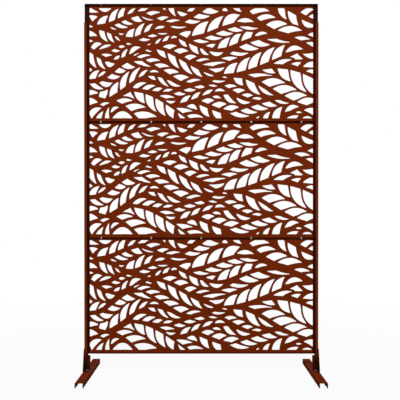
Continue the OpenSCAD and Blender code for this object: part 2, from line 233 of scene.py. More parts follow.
SETTINGS = {
    "leaf_screen_finish": LeafScreenFinish,
    "leaf_screen_detail": LeafScreenDetail,
    "leaf_screen_stage": LeafScreenStage,
}


# ---- Materials ----

# Where shade is painted on the coat: each maps a distance from the middle of the screen,
# from the floor or from a hole's axis to the share of painted shade
FOLD_SHADE_RANGE = {"From Min": 586 * MM, "From Max": 588 * MM, "To Max": 0.93}
POST_END_SHADE_RANGE = {"From Min": 155 * MM, "From Max": 68 * MM, "To Max": 0.99}
FLANGE_EDGE_SHADE_RANGE = {"From Min": 598.6 * MM, "From Max": 597.2 * MM}
BRACKET_FOOT_SHADE_RANGE = {"From Min": 60 * MM, "From Max": 30 * MM, "To Max": 0.5}
ANCHOR_HOLE_SHADE_RANGE = {"From Min": 7.6 * MM, "From Max": 6.8 * MM}


def from_middle(tree, place, axis):
    """Distance of a place from the middle of the screen along one axis"""
    parts = add(tree, "SeparateXYZ", Vector=place)
    return add(tree, "Math", {"operation": "ABSOLUTE"}, _0=parts.outputs[axis])


def side_fold_shade(tree, place):
    """Painted shade along the side folds of a panel, which shows as a dark line beside the
    posts and as a dark strip above them"""
    return add(tree, "MapRange", FOLD_SHADE_RANGE, Value=from_middle(tree, place, "X"))


def post_end_shade(tree, place):
    """Painted shade at the lower ends of the posts, darker towards the floor, and along the
    inner edges of their flanges"""
    ends = add(tree, "MapRange", POST_END_SHADE_RANGE, Value=from_middle(tree, place, "Z"))
    edges = add(tree, "MapRange", FLANGE_EDGE_SHADE_RANGE, Value=from_middle(tree, place, "X"))
    return add(tree, "Math", {"operation": "MAXIMUM"}, _0=ends, _1=edges)


def bracket_foot_shade(tree, place):
    """Painted shade on the foot of a bracket, darker towards the floor"""
    return add(tree, "MapRange", BRACKET_FOOT_SHADE_RANGE, Value=from_middle(tree, place, "Z"))


def anchor_hole_shade(tree, place):
    """Painted shade on the rims and walls of the anchor holes in the feet"""
    off = [add(tree, "Math", {"operation": "SUBTRACT", 1: at},
               _0=from_middle(tree, place, axis))
           for axis, at in (("X", ANCHOR_X), ("Y", ANCHOR_Y))]
    flat = add(tree, "CombineXYZ", X=off[0], Y=off[1])
    radius = add(tree, "VectorMath", {"operation": "LENGTH"}, _0=flat)
    return add(tree, "MapRange", ANCHOR_HOLE_SHADE_RANGE, Value=radius.outputs["Value"])


def powder_coat(name, colour, finish, edge_axis, shaded, gloss=0.03):
    """Polyester powder coat on sheet steel, sprayed dry and baked. It flows to a satin
    film with a fine orange peel. The film is a little thicker and redder in soft
    clouds. Faces that lie across edge_axis are darker: a scant film on cut edges, and painted
    shade on the wider side faces. Painted shade turns it near black in the folds, the cut
    holes and at the places that the shaded function gives."""
    material, tree, place = new_material(name)
    clouds = add(tree, "TexNoise",
                 {"Scale": 1 / finish.cloud_size, "Detail": 4.0, "Roughness": 0.6},
                 Vector=place)
    # Specks of the texture, drawn 6 mm wide because the real ones are too fine to show
    grains = add(tree, "TexNoise",
                 {"Scale": 1 / (6 * MM), "Detail": 2.0, "Roughness": 0.7},
                 Vector=place)
    mottle = add(tree, "Math", {"operation": "ADD"}, _0=clouds, _1=grains)
    spread = add(tree, "MapRange", {"From Min": 0.7, "From Max": 1.3}, Value=mottle)
    tone = add(tree, "ValToRGB", Fac=spread)
    ramp = tone.color_ramp
    ramp.elements[0].color = shade(colour, 0.82)
    ramp.elements[1].color = shade(colour, 1.18)
    ramp.elements.new(0.5).color = rgba(colour)

    # Cut edges and side faces: the share of the surface that faces along the sheet. It darkens
    # as a scant film on cut edges and as painted shade on the wider side faces
    facing = add(tree, "SeparateXYZ",
                 Vector=add(tree, "NewGeometry").outputs["True Normal"])
    flat = add(tree, "Math", {"operation": "ABSOLUTE"}, _0=facing.outputs[edge_axis])
    edge = add(tree, "MapRange",
               {"From Min": 0.0, "From Max": 0.5, "To Min": 0.35, "To Max": 0.0},
               Value=flat)
    coat = add(tree, "Mix", {"data_type": "RGBA", MIX_B: shade(colour, 0.55)},
               Factor=edge, _6=tone)
    # Painted shade: the coat turns near black on the faces in the folds and the cut holes,
    # and at the places that the shaded function gives
    inner = add(tree, "Attribute", {"attribute_name": SHADED_FACES})
    cover = add(tree, "Math", {"operation": "MAXIMUM"},
                _0=inner.outputs["Fac"], _1=shaded(tree, place))
    shaded_coat = add(tree, "Mix", {"data_type": "RGBA", MIX_B: shade(colour, 0.12)},
               Factor=cover, _6=coat.outputs[2])

    sheen = add(tree, "MapRange", {"To Min": 0.56, "To Max": 0.68}, Value=clouds)
    peel = add(tree, "TexNoise",
               {"Scale": 1 / finish.peel_size, "Detail": 1.0}, Vector=place)
    bump = add(tree, "Bump", {"Strength": 0.25, "Distance": 0.15 * MM}, Height=peel)
    shader = add(tree, "BsdfPrincipled",
                 {"IOR": 1.5, "Specular IOR Level": gloss},
                 Base_Color=shaded_coat.outputs[2], Roughness=sheen, Normal=bump)
    add(tree, "OutputMaterial", Surface=shader)
    return material


def zinc_plate(name, colour):
    """Bright zinc plate on steel, laid down in a barrel and passivated. It is a pale
    bluish metal with faint tumbling marks, duller where parts rubbed together."""
    material, tree, place = new_material(name)
    # Passivation clouds about 3 mm across
    clouds = add(tree, "TexNoise", {"Scale": 1 / (3 * MM), "Detail": 3.0}, Vector=place)
    tone = add(tree, "ValToRGB", Fac=clouds)
    tone.color_ramp.elements[0].color = shade(colour, 0.85)
    tone.color_ramp.elements[0].position = 0.35
    tone.color_ramp.elements[1].color = rgba(colour)
    tone.color_ramp.elements[1].position = 0.65
    dull = add(tree, "MapRange", {"To Min": 0.26, "To Max": 0.42}, Value=clouds)
    marks = add(tree, "TexNoise", {"Scale": 1 / (0.5 * MM), "Detail": 1.0}, Vector=place)
    bump = add(tree, "Bump", {"Strength": 0.15, "Distance": 0.04 * MM}, Height=marks)
    shader = add(tree, "BsdfPrincipled", {"Metallic": 1.0},
                 Base_Color=tone, Roughness=dull, Normal=bump)
    add(tree, "OutputMaterial", Surface=shader)
    return material


def seen_share(tree):
    """1 for rays that show the background to the camera, also by way of metal"""
    path = add(tree, "LightPath").outputs
    direct = add(tree, "Math", {"operation": "MAXIMUM"},
                 _0=path["Is Camera Ray"], _1=path["Is Glossy Ray"])
    return add(tree, "Math", {"operation": "MAXIMUM"},
               _0=direct, _1=path["Is Transmission Ray"])


# Share of its light that the floor throws back up at the screen
FLOOR_BOUNCE = 0.2


def studio_floor(name, colour):
    """Matt white paper sheet. It glows to the camera so that it joins the white
    background, least near the screen, where it keeps the screen's shadow."""
    material, tree, place = new_material(name)
    far = add(tree, "VectorMath", {"operation": "LENGTH"}, _0=place)
    glow = add(tree, "MapRange",
               {"From Min": 0.8, "From Max": 3.0, "To Min": 0.92, "To Max": 1.0},
               Value=far.outputs["Value"])
    share = add(tree, "Math", {"operation": "MULTIPLY"}, _0=glow, _1=seen_share(tree))
    tone = add(tree, "Mix",
               {"data_type": "RGBA", MIX_A: shade(colour, FLOOR_BOUNCE), MIX_B: rgba(colour)},
               Factor=seen_share(tree))
    paper = add(tree, "BsdfDiffuse", Color=tone.outputs[2])
    white = add(tree, "Emission", {"Color": WHITE, "Strength": 1.0})
    mix = add(tree, "MixShader", _0=share, _1=paper, _2=white)
    add(tree, "OutputMaterial", Surface=mix)
    return material


def coat_nodes(prefixes, material):
    """Gives the material to every CAD node whose name starts with one of the prefixes"""
    found = [o for n, o in frame["nodes"].items() if n.startswith(prefixes)]
    if not found:
        raise RuntimeError(f"no node starts with {prefixes}")
    for obj in found:
        obj.data.materials.clear()
        obj.data.materials.append(material)


# ---- Meshes ----

def mesh_of(node):
    """A copy of a CAD node's mesh, its faces joined"""
    mesh = bmesh.new()
    mesh.from_mesh(frame["nodes"][node].data)
    bmesh.ops.remove_doubles(mesh, verts=mesh.verts, dist=NEAR)
    return mesh


def solids_of(node):
    """Lowest and highest corner of each separate solid in a CAD node, lowest first"""
    mesh = mesh_of(node)
    left = set(mesh.verts)
    boxes = []
    while left:
        group, queue = [], [left.pop()]
        while queue:
            vert = queue.pop()
            group.append(vert.co)
            near = {e.other_vert(vert) for e in vert.link_edges} & left
            left -= near
            queue.extend(near)
        places = np.array(group)
        boxes.append((Vector(places.min(axis=0)), Vector(places.max(axis=0))))
    mesh.free()
    return sorted(boxes, key=lambda box: (round(box[0].z, 4), round(box[0].x, 4), box[0].y))


def add_object(name, data):
    """Links a new object with its data to the scene"""
    obj = bpy.data.objects.new(name, data)
    bpy.context.scene.collection.objects.link(obj)
    return obj


def add_piece(name, mesh, material):
    """Links a finished mesh as a piece of the screen"""
    bmesh.ops.recalc_face_normals(mesh, faces=mesh.faces)
    data = bpy.data.meshes.new(name)
    mesh.to_mesh(data)
    mesh.free()
    data.materials.append(material)
    obj = add_object(name, data)
    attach(obj, BODY)
    return obj


def between(mesh, one, other):
    """New faces between two closed rings of as many vertices"""
    count = len(one)
    return [mesh.faces.new((one[k], one[(k + 1) % count], other[(k + 1) % count], other[k]))
            for k in range(count)]


def turn(mesh, rings, matrix):
    """Adds a closed body of rings to the mesh. A ring is its height and the radius of
    each of its columns; both ends are closed by fans."""
    loops = []
    for height, radii in rings:
        step = 2 * math.pi / len(radii)
        loops.append([mesh.verts.new(matrix @ Vector(
            (r * math.cos(k * step), r * math.sin(k * step), height)))
            for k, r in enumerate(radii)])
    for low, high in zip(loops, loops[1:]):
        between(mesh, low, high)
    for loop, (height, _) in ((loops[0], rings[0]), (loops[-1], rings[-1])):
        centre = mesh.verts.new(matrix @ Vector((0, 0, height)))
        for k in range(len(loop)):
            mesh.faces.new((loop[k], loop[(k + 1) % len(loop)], centre))


# Fineness of the fasteners, and the depth of a 60 degree thread in pitches
COLUMNS = 24
RINGS_PER_TURN = 6
THREAD_DEPTH = 0.61
# Radius and height of the heads in radii of their thread
BUTTON_RADIUS, BUTTON_HEIGHT = 1.75, 1.1
FLANGE_RADIUS, BOLT_HEAD_HEIGHT = 2, 1.6


def circle(radius):
    """The same radius for each column"""
    return [radius] * COLUMNS


def hexagon(across):
    """Radius of each column on a hexagon, by its width across the flats"""
    sixth = math.pi / 3
    angles = [(2 * math.pi * k / COLUMNS) % sixth - sixth / 2 for k in range(COLUMNS)]
    return [across / 2 / math.cos(a) for a in angles]


def thread(radius, pitch, low, high):
    """Rings of a 60 degree thread from height low to high, its lower end chamfered"""
    depth = THREAD_DEPTH * pitch
    count = round((high - low) / pitch * RINGS_PER_TURN)
    rings = []
    for i in range(count + 1):
        height = low + (high - low) * i / count
        fade = min(1.0, (high - height) / pitch)
        tip = radius - max(0.0, 0.8 * depth - (height - low))
        phases = [(height / pitch + k / COLUMNS) % 1.0 for k in range(COLUMNS)]
        rings.append((height, [min(radius - depth * abs(2 * phase - 1) * fade, tip)
                               for phase in phases]))
    return rings


def button_screw(mesh, matrix, radius, pitch, length, head_radius, head_height):
    """Button head screw with a hexagon socket, its head standing on z = 0"""
    socket = 1.33 * radius
    socket_depth = 0.7 * radius
    rim = 0.61 * socket
    dome = (head_radius ** 2 + head_height ** 2) / (2 * head_height)
    grip = 1.5 * pitch
    rings = thread(radius, pitch, -length, -grip)
    rings += [(-grip * 0.5, circle(radius)), (0.0, circle(radius))]
    steps = 6
    for i in range(steps + 1):
        r = head_radius + (rim - head_radius) * i / steps
        rings.append((head_height - dome + math.sqrt(dome ** 2 - r ** 2), circle(r)))
    rings += [(rings[-1][0], hexagon(socket)),
              (head_height - socket_depth, hexagon(socket))]
    turn(mesh, rings, matrix)


def flange_bolt(mesh, matrix, radius, pitch, length, flange_radius, head_height):
    """Hexagon bolt with a flange under its head, which stands on z = 0"""
    across = 1.64 * 2 * radius
    grip = 2 * pitch
    undercut = 0.05 * MM
    lip, slope = 0.14 * flange_radius, 0.24 * flange_radius
    chamfer, top_radius = 0.88 * head_height, 0.47 * across
    rings = thread(radius, pitch, -length, -grip)
    rings += [(-undercut, circle(radius)), (0.0, circle(flange_radius)),
              (lip, circle(flange_radius)), (slope, hexagon(across)),
              (chamfer, hexagon(across)), (head_height, circle(top_radius))]
    turn(mesh, rings, matrix)


def weld_bead(mesh, start, end, wall, size, ripple):
    """Rippled bead along a corner from start to end, over a floor below and against a
    wall on its side towards wall"""
    per_ripple, arc_steps, ripple_depth, taper, least_end = 4, 6, 0.14, 6, 0.2
    steps = round((end - start).length / ripple * per_ripple)
    up = Vector((0, 0, 1))
    arcs = []
    for i in range(steps + 1):
        share = i / steps
        wave = abs(math.sin(math.pi * 2 * i / per_ripple))
        ends = min(1.0, taper * share, taper * (1 - share)) ** 0.5
        r = size * (1 - ripple_depth + ripple_depth * wave) * max(ends, least_end)
        centre = start.lerp(end, share)
        arcs.append([mesh.verts.new(centre)] + [
            mesh.verts.new(centre - wall * r * math.cos(a) + up * r * math.sin(a))
            for a in [math.pi / 2 * k / arc_steps for k in range(arc_steps + 1)]])
    for a, b in zip(arcs, arcs[1:]):
        between(mesh, a, b)
    mesh.faces.new(arcs[0])
    mesh.faces.new(arcs[-1])


def cut_tube(mesh, top, inside):
    """Cuts the tube of a bracket off at a height and closes its end between the walls.
    The tube is what stands within a distance of the middle."""
    tube = [face for face in mesh.faces if all(abs(v.co.x) < inside for v in face.verts)]
    # The keys of a dictionary keep their order, so that each run gives the same mesh
    parts = dict.fromkeys([*tube, *(e for f in tube for e in f.edges),
                           *(v for f in tube for v in f.verts)])
    bmesh.ops.bisect_plane(mesh, geom=list(parts), dist=0.001 * MM, clear_outer=True,
                           plane_co=(0, 0, top), plane_no=(0, 0, 1))
    rims = [edge for edge in mesh.edges if edge.is_boundary]
    bmesh.ops.bridge_loops(mesh, edges=rims)
    if any(not edge.is_manifold for edge in mesh.edges):
        raise RuntimeError("a bracket's tube isn't closed")


def open_loop(mesh, y):
    """Vertices of the one open loop of edges in a plane across Y, in order"""
    edges = [e for e in mesh.edges
             if e.is_boundary and all(abs(v.co.y - y) < NEAR for v in e.verts)]
    near = {}
    for edge in edges:
        a, b = edge.verts
        near.setdefault(a, []).append(b)
        near.setdefault(b, []).append(a)
    loop = [edges[0].verts[0]]
    while True:
        after = [v for v in near[loop[-1]] if v not in loop[-2:]]
        if not after or after[0] is loop[0]:
            break
        loop.append(after[0])
    if len(loop) != len(edges):
        raise RuntimeError("a panel's rim isn't one loop")
    return loop


# Share of a face's normal across the sheet: more where it is flat, less where it is a wall
FLAT, WALL = 0.99, 0.5


def cut_sheet(mesh, holes):
    """Gives a folded panel a new sheet between its bends, cut with the holes"""
    area = {}
    for face in mesh.faces:
        if abs(face.normal.y) > FLAT:
            y = round(face.calc_center_median().y, 4)
            area[y] = area.get(y, 0) + face.calc_area()
    # The sheet's front and back are the planes with the largest area
    planes = sorted(area, key=area.get)[-2:]
    middle_z = (min(v.co.z for v in mesh.verts) + max(v.co.z for v in mesh.verts)) / 2

    def on_sheet(face, beside=1):
        """Whether a face is part of the flat sheet or of a hole's wall in it"""
        flat = [min(abs(v.co.y - y) for y in planes) < NEAR for v in face.verts]
        if not all(flat):
            return False
        centre = face.calc_center_median()
        return abs(face.normal.y) > FLAT or (
            abs(centre.x) < (FIELD_WIDTH / 2 + beside) * MM
            and abs(centre.z - middle_z) < (FIELD_HEIGHT / 2 + beside) * MM)

    gone = [f for f in mesh.faces if on_sheet(f)]
    bmesh.ops.delete(mesh, geom=gone, context="FACES")
    base_z = middle_z - FIELD_HEIGHT / 2 * MM
    sides = []
    for y in planes:
        rim = open_loop(mesh, y)
        rings = [[mesh.verts.new((x * MM, y, base_z + z * MM)) for x, z in hole]
                 for hole in holes]
        flat = [[Vector((v.co.x, v.co.z, 0)) for v in ring] for ring in (rim, *rings)]
        verts = rim + [v for ring in rings for v in ring]
        for corners in tessellate_polygon(flat):
            mesh.faces.new([verts[k] for k in corners])
        sides.append(rings)
    # Painted shade goes on the faces of the folds that face inward and on the walls of the cut
    # holes
    inner = mesh.faces.layers.float.new(SHADED_FACES)
    centre = Vector((0, 0, middle_z))
    mesh.normal_update()
    for face in mesh.faces:
        way = centre - face.calc_center_median()
        way.y = 0
        if abs(face.normal.y) < WALL and way.dot(face.normal) > 0:
            face[inner] = 1.0
    for front, back in zip(*sides):
        for wall in between(mesh, front, back):
            wall[inner] = 1.0


# ---- Leaf pattern, in mm from the middle of its field's lower edge ----

FIELD_WIDTH, FIELD_HEIGHT = 1175.0, 578.0
# Width of the metal between leaves, and along a frond's stem
RIB, STEM = 10.0, 22.0
LEAST_RIB = 0.8 * RIB
# Slanting ribs take more of the stem than upright ones, down to this lean
LEAST_LEAN = 0.42
# Bulge of a leaf's back and hollow of its front, as shares of their lengths
LEAF_BULGE, LEAF_HOLLOW = 0.19, 0.04
LEAF_STEPS = 8
# Metal left inside each leaf's outline
MARGIN = 0.9
# Step of the grid on which the leaves' distances are worked out
GRID = 2.0
LEAST_HOLE_AREA = 60.0

# Fronds, front ones first. Each has its stem as x and z of four curve points, then its
# rows of leaves: side of the stem (1 above, -1 below), number, first and last place
# along the stem, x and z of the leaves' reach from the first to the last and, where it
# isn't the usual one, their bulge
FRONDS = (
    # Middle: the large fronds
    [(-60, 418, 60, 423, 140, 528, 290, 488),
     [1, 2, 0.01, 0.495, (58, 72, 59, 75)],
     [1, 1, 0.495, 0.74, (65, 51), 0.3],
     [-1, 2, 0, 0.36, (73, -8, 80, -6), 0.14],
     [-1, 3, 0.36, 0.93, (80, -6, 72, -11, 84, -8), 0.14]],
    [(60, 355, 165, 335, 230, 445, 400, 430),
     [1, 3, 0.06, 0.7125, (53, 58, 46, 66, 46, 58)],
     [-1, 2, 0.43, 0.8, (93, -14, 87, -18), 0.16]],
    [(60, 222, 240, 208, 342, 292, 535, 358),
     [1, 5, 0.1, 0.81, (48, 58, 58, 78, 50, 86, 58, 88, 46, 72)]],
    [(-251, 378, -141, 368, -51, 258, 89, 231),
     [-1, 5, 0.03, 0.96, (33, -42, 44, -74, 57, -74, 45, -52, 36, -16), 0.16]],
    [(-196, 460, -106, 438, -6, 350, 140, 357),
     [-1, 2, 0.25, 0.62, (31, -36, 33, -48)],
     [-1, 1, 0.6, 0.71, (42, -34), 0.28],
     [1, 1, 0.24, 0.42, (54, 23), 0.12]],
    [(150, 224, 290, 250, 400, 76, 590, 48),
     [-1, 1, 0.03, 0.18, (30, -40)],
     [-1, 2, 0.19, 0.52, (57, -73, 65, -42)],
     [1, 4, 0.38, 0.95, (108, 6, 112, 4, 108, 6, 90, 14)]],
    # Right edge
    [(350, 276, 450, 275, 505, 268, 610, 212),
     [-1, 3, 0.16, 1, (48, -68, 60, -112, 45, -105)],
     [1, 1, 0.05, 0.34, (78, 24), 0.12]],
    [(200, 590, 285, 535, 322, 437, 520, 426),
     [1, 1, 0.17, 0.3, (100, 8)],
     [1, 1, 0.34, 0.47, (94, 8)],
     [1, 2, 0.53, 0.9, (98, 12, 106, 6)]],
    [(395, 610, 450, 585, 515, 540, 612, 498),
     [-1, 2, 0.03, 0.61, (30, -68, 40, -78)],
     [1, 2, 0.6, 0.95, (60, 25, 50, 15)]],
    [(400, 432, 480, 425, 540, 395, 620, 340),
     [1, 2, 0.32, 0.9, (70, -3, 60, -3), 0.14]],
    # Top edge
    [(-190, 490, -110, 494, -40, 543, 40, 598),
     [-1, 3, 0.37, 1, (78, 0, 78, 0, 74, -10), 0.15],
     [-1, 1, 0.04, 0.22, (88, 0), 0.13]],
    [(-330, 552, -270, 545, -235, 488, -140, 490),
     [1, 1, 0.15, 0.42, (67, 9), 0.14],
     [1, 2, 0.5, 0.98, (54, 13, 68, 8), 0.12],
     [-1, 1, 0.02, 0.25, (68, -18), 0.15]],
    [(-587, 480, -450, 468, -415, 556, -285, 554),
     [1, 1, 0.08, 0.265, (40, 46)],
     [1, 4, 0.285, 1, (38, 68, 30, 58, 34, 30, 48, 18)],
     [-1, 2, 0.36, 0.64, (66, -16, 56, -16), 0.16],
     [-1, 1, 0.7, 0.88, (44, -24)]],
    # Left half
    [(-410, 418, -325, 388, -295, 478, -180, 460),
     [1, 4, 0.02, 0.96, (32, 46, 40, 68, 36, 44, 40, 12)],
     [-1, 3, 0.3, 1, (53, -2, 42, -2, 45, 2), 0.15]],
    [(-300, 372, -230, 366, -190, 412, -60, 414),
     [1, 2, 0.25, 0.66, (28, 28, 28, 30)]],
    [(-600, 476, -515, 488, -465, 450, -400, 418),
     [-1, 3, 0.25, 0.88, (34, -60, 30, -52, 24, -24)]],
    [(-600, 368, -545, 345, -524, 290, -420, 298),
     [-1, 2, 0.03, 0.6, (32, -82, 38, -62)],
     [1, 1, 0.05, 0.24, (52, 26), 0.3],
     [1, 1, 0.4, 0.68, (52, 2), 0.1]],
    [(-560, 345, -490, 340, -465, 390, -385, 402),
     [1, 1, 0.06, 0.5, (46, 18), 0.2],
     [-1, 1, 0.42, 0.65, (42, -4)]],
    [(-478, 294, -398, 289, -386, 348, -286, 343),
     [1, 2, 0.03, 0.52, (26, 22, 26, 46)],
     [1, 1, 0.52, 0.76, (54, 34), 0.33]],
    [(-396, 314, -296, 326, -214, 236, -78, 166),
     [1, 5, 0.14, 0.93, (67, 12, 70, 2, 70, -4, 70, -2, 66, 6), 0.15]],
    [(-306, 232, -226, 250, -182, 204, -84, 186),
     [-1, 2, 0.07, 0.553, (28, -22, 50, -50), 0.15],
     [-1, 1, 0.553, 0.78, (66, -30), 0.22]],
    [(-520, 85, -420, 105, -350, 235, -215, 235),
     [1, 1, 0.12, 0.33, (30, 70)],
     [1, 3, 0.33, 0.81, (36, 92, 50, 80, 38, 36)]],
    [(-400, 148, -330, 158, -245, 116, -150, 130),
     [1, 4, 0.12, 0.97, (64, 28, 60, 20, 43, 14, 42, 10)]],
    [(-380, 153, -280, 158, -185, 92, -50, -10),
     [-1, 1, 0.07, 0.28, (42, -60)],
     [-1, 4, 0.28, 0.97, (40, -88, 34, -84, 18, -60, 30, -32)]],
    [(-620, 195, -500, 168, -460, 298, -350, 320),
     [-1, 1, 0.06, 0.22, (63, -29)],
     [-1, 3, 0.383, 0.868, (59, -3, 57, 0, 60, -14)],
     [1, 1, 0.06, 0.24, (40, 48)],
     [1, 1, 0.22, 0.42, (40, 30)]],
    # Bottom edge
    [(-160, 64, -56, 58, 14, 138, 140, 130),
     [1, 3, 0.13, 0.76, (42, 37, 36, 36, 42, 27)]],
    [(-60, 95, 20, 86, 82, 22, 205, 24),
     [1, 3, 0.2, 0.9, (54, 10, 62, 13, 65, 14)],
     [-1, 1, 0.2, 0.45, (33, -56)],
     [-1, 1, 0.48, 0.72, (32, -48)]],
    [(92, 30, 204, 35, 274, 96, 404, 106),
     [-1, 4, 0.13, 0.9, (96, -16, 78, -15, 80, -15, 66, -17), 0.15]],
    [(60, 178, 140, 172, 200, 80, 334, 82),
     [1, 4, 0.2, 0.95, (58, 2, 55, 6, 48, 4, 38, 4), 0.16]],
    [(-200, 128, -120, 138, -36, 206, 100, 190),
     [-1, 3, 0.16, 0.76, (53, -6, 53, -3, 40, -6), 0.16]],
    [(-520, 98, -440, 96, -385, 44, -325, -22),
     [1, 3, 0.26, 1, (76, 8, 95, 6, 108, -2), 0.15]],
)

# Single leaves between the fronds: x and z of the back of the base, of the tip and of
# the front of the base, then the bulge
SINGLES = (
    # Top and upper left
    (-592, 556, -536, 557, -592, 590, 0.05), (-545, 582, -468, 582, -543, 586, 0.32),
    (-592, 540, -543, 533, -572, 506, 0.1), (-592, 493, -565, 478, -592, 474, 0.05),
    (-592, 462, -545, 430, -592, 428, 0.1), (-437, 446, -404, 446, -430, 448, 0.28),
    (-592, 416, -562, 402, -592, 398, 0.05), (-398, 390, -362, 391, -388, 398, 0.15),
    (-178, 590, -132, 533, -146, 590, 0.12), (-128, 564, -70, 549, -100, 558, 0.36),
    (-76, 561, -22, 582, -48, 560, 0.2), (-164, 421, -121, 421, -155, 419, 0.3),
    (108, 566, 142, 564, 125, 590, 0.1), (158, 584, 215, 557, 195, 590, 0.1),
    (-302, 350, -256, 352, -285, 363, 0.1), (-288, 385, -262, 393, -272, 383, 0.1),
    (-482, 480, -441, 460, -470, 468, 0.12), (-212, 584, -188, 565, -187, 584, 0.05),
    # Left half
    (-508, 297, -453, 288, -490, 299, 0.45), (-438, 375, -399, 375, -420, 367, 0.25),
    (-538, 188, -463, 188, -520, 196, 0.33), (-360, 300, -259, 270, -312, 302, 0.08),
    (-360, 332, -268, 338, -335, 322, 0.12), (-275, 243, -220, 239, -262, 240, 0.25),
    # Between the large fronds
    (183, 508, 281, 503, 230, 502, 0.22), (279, 431, 352, 444, 300, 432, 0.25),
    (148, 340, 255, 346, 168, 352, 0.15), (340, 416, 480, 400, 395, 419, 0.08),
    (440, 346, 538, 361, 455, 346, 0.3), (460, 320, 538, 311, 505, 342, 0.08),
    (243, 229, 385, 221, 282, 214, 0.08), (-205, 375, -126, 380, -165, 362, 0.15),
    (-146, 354, -65, 351, -112, 338, 0.2), (-90, 322, -22, 324, -62, 304, 0.18),
    (22, 380, 78, 390, 60, 369, 0.1), (42, 349, 118, 348, 44, 353, 0.3),
    (102, 314, 195, 317, 150, 301, 0.1), (2, 281, 141, 293, 60, 273, 0.07),
    (75, 240, 127, 271, 34, 262, 0.12), (-32, 300, 50, 308, -5, 297, 0.15),
    (-83, 190, 3, 200, -55, 186, 0.15), (53, 195, 132, 200, 70, 202, 0.15),
    (108, 217, 139, 209, 118, 212, 0.25), (-413, 118, -347, 101, -373, 140, 0.1),
    (-222, 118, -135, 107, -185, 103, 0.12), (-187, 92, -133, 92, -185, 95, 0.28),
    (115, 124, 187, 77, 140, 126, 0.2), (182, 108, 262, 85, 192, 107, 0.27),
    (65, 141, 128, 140, 75, 139, 0.27), (34, 176, 89, 170, 64, 178, 0.14),
    # Right edge
    (318, 255, 392, 237, 372, 262, 0.12), (592, 310, 531, 340, 592, 346, 0.1),
    (592, 258, 548, 246, 592, 230, 0.1), (382, 97, 467, 80, 415, 96, 0.15),
    (592, 452, 558, 437, 592, 423, 0.1), (470, 285, 528, 294, 508, 272, 0.1),
    (533, 270, 592, 300, 592, 265, 0.12), (526, 520, 592, 478, 592, 492, 0.28),
    # Bottom edge
    (-78, 62, -20, 43, -60, 52, 0.38), (56, 112, 107, 102, 75, 104, 0.25),
    (-77, 14, 15, 2, -60, 0, 0.15), (-135, 54, -40, 36, -98, 26, 0.08),
    (372, -5, 428, 62, 412, -5, 0.2), (438, 32, 517, 60, 470, 40, 0.3),
    (322, -5, 365, 35, 350, -5, 0.18), (283, -4, 308, 13, 300, -4, 0.1),
    (495, 31, 533, 28, 510, 25, 0.2), (442, -4, 514, 15, 500, -4, 0.12),
    (525, -4, 590, -4, 527, -7, 0.25), (592, 55, 538, 42, 592, 12, 0.1),
    # Lower left
    (-592, 150, -537, 130, -592, 118, 0.1), (-540, 112, -482, 145, -505, 103, 0.35),
    (-592, 110, -542, 82, -592, 66, 0.1), (-535, 72, -480, 80, -515, 63, 0.15),
    (-592, 30, -523, 54, -578, -5, 0.2), (-558, -5, -513, 40, -525, -5, 0.1),
    (-508, -5, -484, 62, -482, -5, 0.1), (-478, 28, -430, 58, -468, 32, 0.33),
    (-472, -3, -358, -3, -470, -7, 0.36), (-592, 268, -570, 250, -592, 240, 0.1),
)


def pairs(values):
    """Points from a flat row of their x and z"""
    return np.reshape(values, (-1, 2)).astype(float)


def along(stem, t):
    """Point at share t along a curve of four points"""
    a, b, c, d = stem
    s = 1 - t
    return s ** 3 * a + 3 * s * s * t * b + 3 * s * t * t * c + t ** 3 * d


def heading(stem, t):
    """Direction of the curve at share t"""
    a, b, c, d = stem
    s = 1 - t
    way = s * s * (b - a) + 2 * s * t * (c - b) + t * t * (d - c)
    return way / np.hypot(*way)


def left_of(way):
    """Left-hand normal of a direction"""
    return np.array((-way[1], way[0]))


def blend(values, t):
    """Value at share t along an array of values"""
    if len(values) == 1:
        return values[0]
    u = t * (len(values) - 1)
    i = min(int(u), len(values) - 2)
    return values[i] + (u - i) * (values[i + 1] - values[i])


def bow(a, b, rise):
    """Points of a bowed line from a towards b, the last one left out"""
    u = np.arange(LEAF_STEPS)[:, None] / LEAF_STEPS
    return a + u * (b - a) + 4 * u * (1 - u) * rise * left_of(b - a)


def leaf(back, tip, front, bulge):
    """Outline of one leaf from the back of its base, its tip and the front of its base"""
    hollow = -math.copysign(LEAF_HOLLOW, bulge)
    return np.vstack((bow(back, tip, bulge), bow(tip, front, hollow), [front]))


def row_leaves(stem, side, count, first, last, reaches, bulge=LEAF_BULGE):
    """Outlines of one row of leaves along a stem, on its left where side is 1"""
    outlines = []
    for i in range(count):
        t0 = first + (last - first) * i / count
        t1 = first + (last - first) * (i + 1) / count
        reach = blend(pairs(reaches), i / max(1, count - 1))
        way = heading(stem, (t0 + t1) / 2)
        lean = abs(way[0] * reach[1] - way[1] * reach[0]) / np.hypot(*reach)
        gap = RIB / max(lean, LEAST_LEAN)
        out = left_of(way) * side * STEM / 2
        back = along(stem, t0) + way * gap / 2 + out
        front = along(stem, t1) - way * gap / 2 + out
        outlines.append(leaf(back, (back + front) / 2 + reach, front, side * bulge))
    return outlines


def single_leaf(row):
    """Outline of a leaf on its own, from its row of the table"""
    back, tip, front = pairs(row[:-1])
    side = 1 if left_of(tip - back) @ (front - back) < 0 else -1
    return leaf(back, tip, front, side * row[-1])


def distance(outline, x, z):
    """Distance of points from a closed outline, negative inside it"""
    nearest = np.full(x.shape, np.inf)
    inside = np.zeros(x.shape, bool)
    for (ax, az), (bx, bz) in zip(outline, np.roll(outline, -1, axis=0)):
        ex, ez = bx - ax, bz - az
        px, pz = x - ax, z - az
        t = np.clip((px * ex + pz * ez) / max(ex * ex + ez * ez, 1e-9), 0, 1)
        nearest = np.minimum(nearest, (px - t * ex) ** 2 + (pz - t * ez) ** 2)
        if az != bz:
            inside ^= ((az > z) != (bz > z)) & (x < ax + ex * pz / ez)
    return np.sqrt(nearest) * np.where(inside, -1, 1)


